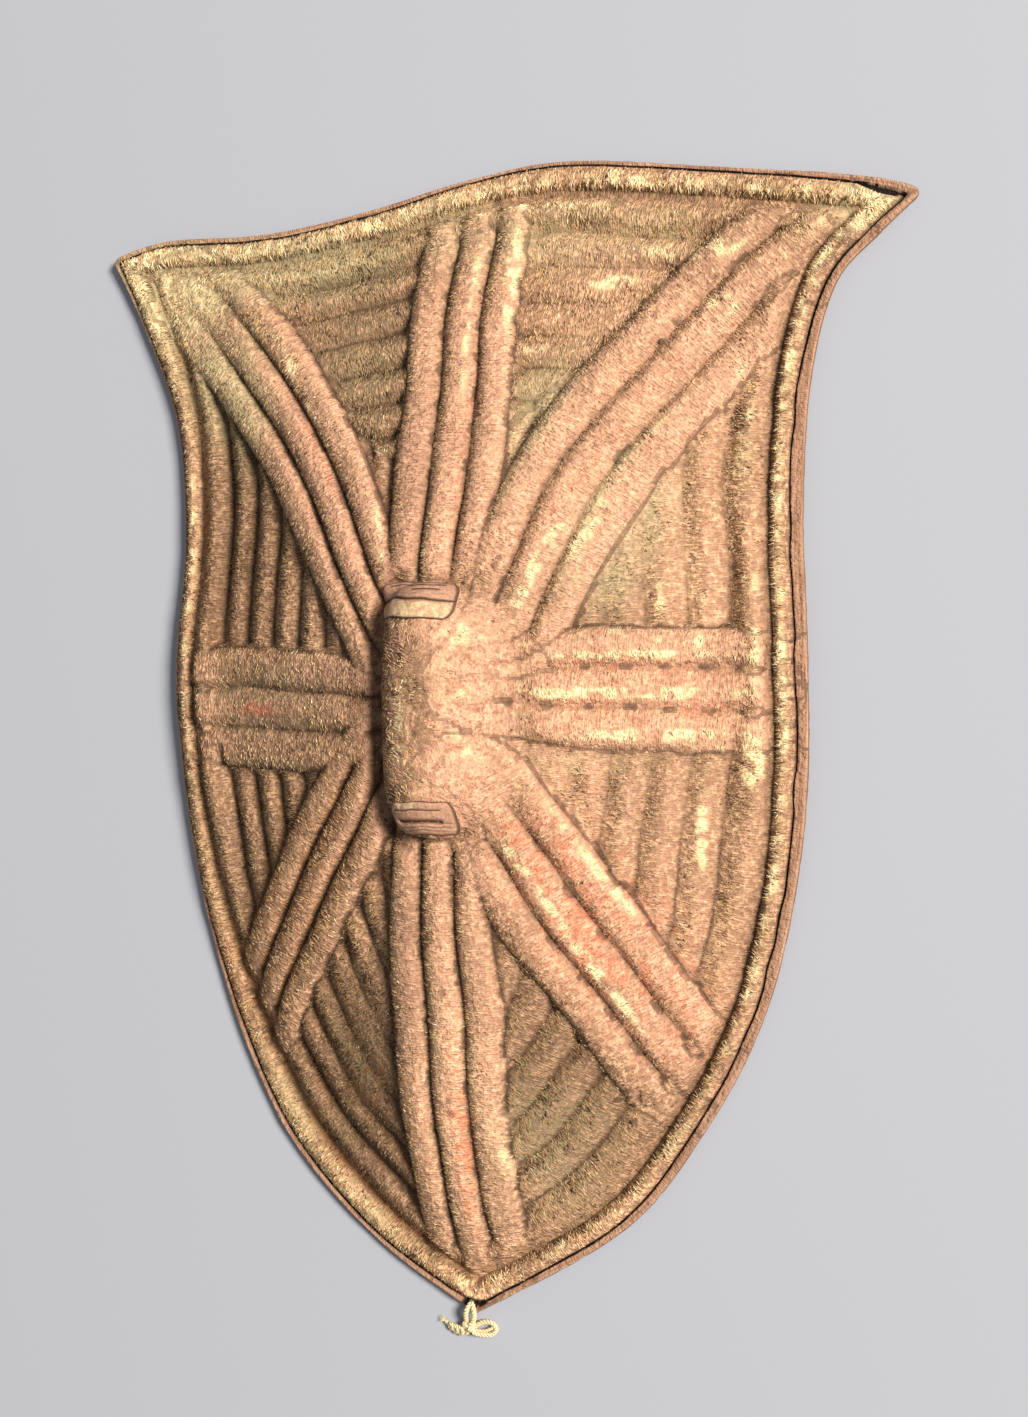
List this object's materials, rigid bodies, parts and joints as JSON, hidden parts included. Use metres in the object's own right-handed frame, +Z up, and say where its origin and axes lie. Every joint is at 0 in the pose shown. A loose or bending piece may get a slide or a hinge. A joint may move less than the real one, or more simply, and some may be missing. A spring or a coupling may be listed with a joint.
{
  "type": "embossed hide shield",
  "caption": "Domed rawhide shield with horned upper corners and a pointed foot, embossed with raised rib bands around a hand boss, lying hair side up.",
  "frame": {"origin": "on the floor, under the middle of the hide's outline", "axes": "+Z up out of the hair side, +Y towards the horned upper edge, +X to the right as the hair side is looked at"},
  "size_m": [0.749, 1.0297, 0.1655],
  "materials": {
    "hide": "hair-on rawhide, matte, rubbed with red ochre, hair worn pale on the crests",
    "rawhide_strap": "bare folded rawhide, pale at the cut edges, matte",
    "cotton_cord": "twisted undyed cotton, matte, soiled"
  },
  "bodies": {
    "root": {"hide_shell": "hide", "grip_strap": "rawhide_strap", "tie_cord": "cotton_cord"}
  },
  "joints": []
}
